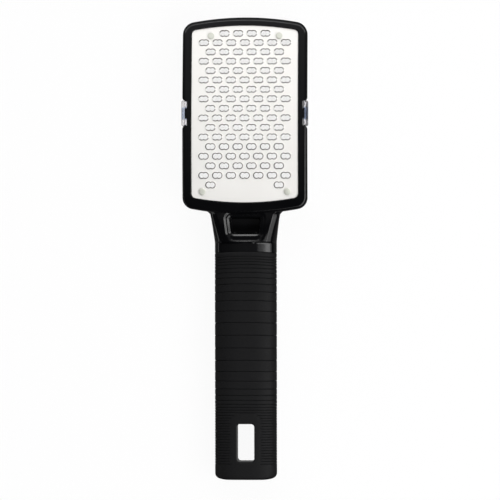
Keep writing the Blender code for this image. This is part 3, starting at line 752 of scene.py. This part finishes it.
def hole_tool():
    """Slot cutter that flares at both faces, so that the hole has rounded rims."""
    rim = 0.9 * MM
    rim_steps = 8
    corner = 1.8 * MM
    levels = [(rim + 1.0 * MM, -1.0 * MM)]
    for step in range(rim_steps + 1):
        turn = pi / 2 * step / rim_steps
        levels.append((rim * (1 - sin(turn)), rim * (1 - cos(turn))))
    levels += [(growth, grip_thick - level) for growth, level in reversed(levels)]
    loops = []
    for growth, level in levels:
        loop = rounded_box(
            (0.0, hole_place), hole_half_x + growth, hole_half_y + growth, corner + growth, 8)
        loops.append([(x, y, level) for x, y in loop])
    points, faces = skin(loops)
    return smooth_piece("hang_hole", points, faces, None)


def rubber_finish():
    """Matte black rubber with a softly speckled skin."""
    made, tree, shader = new_material("soft_black_rubber")
    mottle = add_mottle(tree, 1500.0, 120.0)
    share = scaled(tree, mottle["Grain"], 1.5, 0.5)
    set_inputs(tree, shader, {
        "Base Color": two_tones(tree, share, (0.0022, 0.0022, 0.0026), (0.0068, 0.0068, 0.0075)),
        "Roughness": scaled(tree, mottle["Patches"], 0.12, 0.62),
        "Normal": fine_bumps(tree, mottle["Grain"], 0.35, 0.06 * MM),
        "IOR": 1.5,
        "Specular IOR Level": 0.17})
    return made


points, faces = skin(grip_loops())
grip = smooth_piece("ribbed_grip", points, faces, rubber_finish(), sharp=pi / 4)
carve(grip, "DIFFERENCE", [hole_tool()], sharp=pi / 4)
grip.data.materials.append(gloss_black)
for face in grip.data.polygons:          # the hard core lines the hole
    x, y, _ = face.center
    in_hole = abs(x) < hole_half_x + 0.1 * MM and abs(y - hole_place) < hole_half_y + 0.1 * MM
    if in_hole and abs(face.normal.z) < 0.1:
        face.material_index = 1
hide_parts("grip_sleeve")
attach(grip, "tool")


# Rasp. A stainless sheet bent to the crown and etched through with rows of two-lobed openings, whose
# edges stand up as small teeth. It lies in the frame's seat, held by four rivets.
tooth_rows = 17
tooth_columns = 7
tooth_pitch = 7.597 * MM
row_pitch = 5.32 * MM
first_row = crown_radius * asin((plate_top - crown_place) / crown_radius) - 4.6 * MM
tooth_half_x = 2.65 * MM
tooth_half_y = 1.66 * MM


def tooth_places():
    """Centres of the teeth, row by row. The rivets stand in the first row, and the last keeps its ends."""
    places = []
    for row in range(tooth_rows):
        y = crown_place + crown_radius * sin((first_row - row * row_pitch) / crown_radius)
        teeth = tooth_columns - 1 + row % 2
        for column in range(teeth):
            side = column - (teeth - 1) / 2
            at_end = column in (0, teeth - 1)
            if row == 0 and at_end or row == tooth_rows - 1 and not at_end:
                continue
            places.append((side * tooth_pitch, y))
    return places


def tooth_outline(growth, place):
    """Two round lobes side by side that overlap, which leaves a small cusp above and below the middle."""
    radius = tooth_half_y + growth
    apart = tooth_half_x - tooth_half_y
    turn = pi - asin(sqrt(radius ** 2 - apart ** 2) / radius)
    right = arc((apart, 0.0), radius, -turn, turn, 18)
    return [(x + place[0], y + place[1]) for x, y in right + [(-x, -y) for x, y in right]]


def inside(point, loop):
    """Whether a plan point lies inside a loop."""
    x, y = point
    crossings = 0
    for (x0, y0), (x1, y1) in zip(loop, loop[1:] + loop[:1]):
        if (y0 > y) != (y1 > y) and x < x0 + (y - y0) / (y1 - y0) * (x1 - x0):
            crossings += 1
    return crossings % 2 == 1


def pierced_sheet(outer, holes):
    """Triangles of a sheet with holes, as indices into the outer loop's and the holes' points."""
    inside_only, closest = 1, 1e-7
    points = []
    edges = []
    for loop in [outer] + holes:
        first = len(points)
        points += [Vector(point) / plate_half for point in loop]
        edges += [(first + step, first + (step + 1) % len(loop)) for step in range(len(loop))]
    _, _, triangles, sources, _, _ = delaunay_2d_cdt(points, edges, [], inside_only, closest)
    spans = []
    for hole in holes:
        across, along = zip(*hole)
        spans.append((min(across), max(across), min(along), max(along), hole))
    kept = []
    for triangle in triangles:
        origins = [sources[corner][0] for corner in triangle]
        x, y = sum((points[index] for index in origins), Vector((0.0, 0.0))) / 3 * plate_half
        hit = any(low_x < x < high_x and low_y < y < high_y and inside((x, y), hole)
                  for low_x, high_x, low_y, high_y, hole in spans)
        if not hit and inside((x, y), outer):
            kept.append(tuple(origins))
    return kept


rivet_x = tooth_pitch * (tooth_columns // 2 - 0.5)
rivet_foot_x = plate_half - 5.95 * MM
rivet_top_y = plate_top - 5.8 * MM
rivet_foot_y = plate_foot + 5.9 * MM
rivet_places = (
    ("top_left", -rivet_x, rivet_top_y), ("top_right", rivet_x, rivet_top_y),
    ("foot_left", -rivet_foot_x, rivet_foot_y), ("foot_right", rivet_foot_x, rivet_foot_y))


def rasp_shape():
    """The pierced sheet with its raised cutting edges."""
    edge_round = 0.06 * MM
    rounded_outline = plate_loop(-edge_round)
    bores = [arc((x, y), 1.4 * MM, 0, 2 * pi, 20) for _, x, y in rivet_places]
    places = tooth_places()
    # Growth round each opening and rise over the sheet, in mm, from the foot of the edge over its crest.
    rim = (
        (0.5, 0.0), (0.36, 0.05), (0.24, 0.17), (0.14, 0.29), (0.04, 0.345), (-0.04, 0.345),
        (-0.12, 0.28), (-0.17, 0.15), (-0.2, -0.05), (-0.2, -0.5))
    shape = bmesh.new()

    def add(loop, rise):
        return [shape.verts.new(point) for point in raised(loop, rise)]

    def wall(first, second, slot=0, plain=()):
        for step in range(len(first)):
            after = (step + 1) % len(first)
            face = shape.faces.new((first[step], first[after], second[after], second[step]))
            face.material_index = 0 if step in plain else slot

    top_rim = add(rounded_outline, 0.0)
    sides = [add(plate_loop(), rise) for rise in (-edge_round, edge_round - plate_thickness)]
    low_rim = add(rounded_outline, -plate_thickness)
    for first, second in ((top_rim, sides[0]), (sides[0], sides[1]), (sides[1], low_rim)):
        wall(first, second)
    top_bores = [add(loop, 0.0) for loop in bores]
    low_bores = [add(loop, -plate_thickness) for loop in bores]
    for top, low in zip(top_bores, low_bores):
        wall(top, low)
    # Painted shade starts above an edge's foot and darkens its crest and inner wall.
    # Towards the head's end it leaves parts of a tooth's ends bright, where light falls on them.
    unshaded_ends = (8, 9, 26, 27, 28, 29)
    shade_all_round_below = crown_place + 4 * MM
    feet = []
    lows = []
    for place in places:
        rings = [add(tooth_outline(growth * MM, place), rise * MM) for growth, rise in rim]
        bright = unshaded_ends if place[1] > shade_all_round_below else ()
        for band, (first, second) in enumerate(zip(rings, rings[1:])):
            wall(first, second, 1 if band > 1 else 0, bright)
        feet.append(rings[0])
        lows.append(rings[-1])
    plan_feet = [tooth_outline(rim[0][0] * MM, place) for place in places]
    plan_lows = [tooth_outline(rim[-1][0] * MM, place) for place in places]
    for holes, verts in ((bores + plan_feet, [top_rim] + top_bores + feet),
                         (bores + plan_lows, [low_rim] + low_bores + lows)):
        flat = [vert for loop in verts for vert in loop]
        for triangle in pierced_sheet(rounded_outline, holes):
            shape.faces.new([flat[index] for index in triangle])
    bmesh.ops.recalc_face_normals(shape, faces=shape.faces)
    mesh_data = bpy.data.meshes.new("rasp")
    shape.to_mesh(mesh_data)
    shape.free()
    mesh_data.shade_smooth()
    mesh_data.set_sharp_from_angle(angle=pi / 4)
    return mesh_data


def keep_crown(mesh_data):
    """Gives the sheet's flat faces, the only triangles, the crown's own normals."""
    normals = [corner.vector.copy() for corner in mesh_data.corner_normals]
    for face in mesh_data.polygons:
        if len(face.vertices) == 3:
            facing = 1 if face.normal.z > 0 else -1
            for corner in face.loop_indices:
                vertex = mesh_data.vertices[mesh_data.loops[corner].vertex_index]
                lean = (vertex.co.y - crown_place) / crown_radius
                normals[corner] = facing * Vector((0.0, lean, sqrt(1 - lean ** 2)))
    mesh_data.normals_split_custom_set(normals)


def steel_finish():
    """The sheet's satin face, faintly patchy."""
    made, tree, shader = new_material("satin_steel")
    mottle = add_mottle(tree, 900.0, 45.0)
    share = scaled(tree, mottle["Patches"], 1.0, 0.5)
    set_inputs(tree, shader, {
        "Base Color": two_tones(tree, share, (0.93, 0.915, 0.89), (0.97, 0.965, 0.95)),
        "Metallic": 1.0,
        "Roughness": scaled(tree, mottle["Patches"], 0.1, 0.76),
        "Normal": fine_bumps(tree, mottle["Grain"], 0.15, 0.02 * MM)})
    return made


def shaded_edge_finish():
    """The cutting edges' crests and inner walls with painted shade: darker and browner than the sheet's
    face, and rougher.
    """
    made, tree, shader = new_material("edge_painted_shade")
    mottle = add_mottle(tree, 3000.0, 260.0)
    share = scaled(tree, mottle["Grain"], 2.2, 0.5)
    set_inputs(tree, shader, {
        "Base Color": two_tones(tree, share, (0.05, 0.045, 0.038), (0.15, 0.14, 0.12)),
        "Metallic": 1.0,
        "Roughness": scaled(tree, mottle["Patches"], 0.3, 0.55)})
    return made


rasp = bpy.data.objects.new("rasp", rasp_shape())
keep_crown(rasp.data)
rasp.data.materials.append(steel_finish())
# The second slot holds the painted shade on the teeth's crests and inner walls.
rasp.data.materials.append(shaded_edge_finish())
bpy.context.scene.collection.objects.link(rasp)
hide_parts("rasp_plate")
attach(rasp, "tool")


# Rivets. Four pins of soft satin metal with low domed heads. Two pass through the ends of the rasp's first
# row of teeth and two through its foot, and hold it down on the frame's seat.
def rivet_finish():
    """Soft satin metal, a little uneven in gloss."""
    made, tree, shader = new_material("rivet_metal_satin")
    mottle = add_mottle(tree, 1800.0, 200.0)
    share = scaled(tree, mottle["Patches"], 1.0, 0.5)
    set_inputs(tree, shader, {
        "Base Color": two_tones(tree, share, (0.66, 0.67, 0.61), (0.80, 0.81, 0.75)),
        "Metallic": 1.0,
        "Roughness": scaled(tree, mottle["Grain"], 0.2, 0.72)})
    return made


rivet_satin = rivet_finish()
# Radius and rise over the sheet, in mm, from the shank's foot round the head's edge to its middle.
dome = (
    (1.1, -2.0), (1.1, 0.3), (1.76, 0.3), (1.83, 0.34), (1.85, 0.42), (1.82, 0.52), (1.72, 0.6),
    (1.5, 0.66), (1.0, 0.71), (0.5, 0.73), (0.05, 0.735))
for name, x, y in rivet_places:
    loops = [raised(arc((x, y), radius * MM, 0, 2 * pi, 32), rise * MM) for radius, rise in dome]
    points, faces = skin(loops)
    rivet = smooth_piece(f"rivet_{name}", points, faces, rivet_satin)
    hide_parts(f"plate_rivet_{name}")
    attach(rivet, "tool")


# Catcher. A clear polycarbonate tray that nests in the skirt behind the rasp and catches the filings.
# A tab at each side snaps over a nub in the frame's notch.
tab_outer = head_width / 2 + 0.45 * MM
tab_inner = notch_wall + gap


def catcher_loops():
    """Outer skin from the flat back up to the rim, then the inner skin down to the floor."""
    rim_inset = skirt_wall + gap
    rim_depth = skirt_depth - 3.6 * MM
    rim_round = 0.3 * MM
    wall = 1.4 * MM
    bowl = 6.6 * MM
    # Share of the bowl's inward reach and of its height, from the flat back out to the upright wall.
    curve = (
        (1.0, 0.0), (0.86, 0.006), (0.7, 0.022), (0.55, 0.05), (0.38, 0.1), (0.24, 0.17),
        (0.12, 0.28), (0.04, 0.45), (0.0, 0.7), (0.0, 0.97))
    loops = []
    for drawn, rise in curve:
        loop = frame_loop(rim_inset + drawn * bowl)
        loops.append([(x, y, (crown(y) - rim_depth) * rise) for x, y in loop])
    for drawn in (0.1, 0.35, 0.65, 0.9):
        loop = frame_loop(rim_inset + drawn * wall)
        lift = rim_round * sin(pi * drawn)
        loops.append([(x, y, crown(y) - rim_depth - rim_round + lift) for x, y in loop])
    for drawn, rise in reversed(curve):
        loop = frame_loop(rim_inset + wall + drawn * bowl)
        loops.append([(x, y, wall + (crown(y) - rim_depth - wall) * rise) for x, y in loop])
    return loops


def tab_loops(side):
    """The tab's plan at each level: longer outside than at its root, with cut corners and soft edges."""
    root = head_width / 2 - skirt_wall - gap - 0.7 * MM
    round_corner = 1.1 * MM
    # Inner and outer side, rise over the crown, and how much each end is drawn in.
    levels = (
        (root, tab_outer - 1.8 * MM, -10.0 * MM, 0.5 * MM),
        (root, tab_outer - 0.25 * MM, -7.1 * MM, 0.1 * MM),
        (root, tab_outer, -6.5 * MM, 0.0),
        (root, tab_outer, -3.25 * MM, 0.0),
        (tab_inner, tab_outer, -2.75 * MM, 0.0),
        (tab_inner, tab_outer, -0.55 * MM, 0.0),
        (tab_inner, tab_outer - 0.15 * MM, -0.18 * MM, 0.15 * MM),
        (tab_inner, tab_outer - 0.5 * MM, 0.0, 0.45 * MM))
    loops = []
    for inner, outer, rise, trim in levels:
        half = clip_length / 2 - gap - trim
        spread = half + 0.7 * MM
        knee = inner + (outer - inner) / 4
        upper = [
            (inner, half), (knee, half),
            ((knee + outer - round_corner) / 2, (half + spread) / 2 + 0.05 * MM)]
        upper += arc((outer - round_corner, spread - round_corner), round_corner, pi / 2, 0, 8)
        upper.append((outer, spread - round_corner))
        loop = upper + [(x, -y) for x, y in reversed(upper)]
        loops.append(raised([(side * x, clip_place + y) for x, y in loop], rise))
    return loops


def channel_tool(name, side):
    """Room for the nub in the tab's inner face."""
    tab_wall = 1.8 * MM
    reach = tab_outer - tab_wall - tab_inner + 2.0 * MM
    loop = rounded_box((0.0, 0.0), reach / 2, 3.4 * MM, 0.5 * MM, 6)
    place = (side * (tab_outer - tab_wall - reach / 2), clip_place)
    return upright(name, loop, -2.6 * MM, 2.0 * MM, place)


def clear_finish(name, roughness):
    """Clear plastic with a faintly uneven skin, before it has its tint."""
    made, tree, shader = new_material(name)
    mottle = add_mottle(tree, 700.0, 30.0)
    set_inputs(tree, shader, {
        "Transmission Weight": 0.96,
        "IOR": 1.42,
        "Roughness": scaled(tree, mottle["Patches"], 0.06, roughness),
        "Normal": fine_bumps(tree, mottle["Patches"], 0.05, 0.05 * MM)})
    return made, tree, shader


def tray_finish():
    """The tray's plastic, all but colourless."""
    made, tree, shader = clear_finish("clear_polycarbonate", 0.08)
    set_inputs(tree, shader, {"Base Color": (0.985, 0.98, 0.975, 1.0)})
    return made


def tab_finish():
    """The same plastic through a tab's whole depth: faintly lilac, with a painted dark blue reflection in
    its middle, where the nub lies behind.
    """
    made, tree, shader = clear_finish("clear_polycarbonate_tab", 0.11)
    place = add_node(tree, "ShaderNodeTexCoord", {})
    parts = add_node(tree, "ShaderNodeSeparateXYZ", {0: place.outputs["Object"]})
    along = calculate(tree, "SUBTRACT", parts.outputs["Y"], clip_place)
    # Painted reflection: a dark blue patch over the tab's middle, where the nub lies behind.
    nub_reflection = add_node(tree, "ShaderNodeMapRange", {
        "Value": calculate(tree, "ABSOLUTE", along), "From Min": 3.9 * MM, "From Max": 3.0 * MM})
    tint = two_tones(tree, nub_reflection.outputs[0], (0.76, 0.74, 0.77), (0.22, 0.27, 0.40))
    set_inputs(tree, shader, {"Base Color": tint})
    return made


clear_plastic = tray_finish()
clear_tab = tab_finish()
points, faces = skin(catcher_loops())
catcher = smooth_piece("clear_catcher", points, faces, clear_plastic)
tabs = []
channels = []
for name, side in (("left", -1), ("right", 1)):
    points, faces = skin(tab_loops(side))
    tabs.append(smooth_piece(f"tab_{name}", points, faces, None))
    channels.append(channel_tool(f"channel_{name}", side))
carve(catcher, "UNION", tabs)
carve(catcher, "DIFFERENCE", channels)
catcher.data.materials.append(clear_tab)
# The tab's faces also carry the painted reflection over the nub.
for face in catcher.data.polygons:       # a tab is seen through its whole depth, which tints it
    x, y, _ = face.center
    if abs(x) > tab_inner - 0.1 * MM and abs(y - clip_place) < clip_length / 2 + MM:
        face.material_index = 1
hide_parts("catcher")
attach(catcher, "catcher")
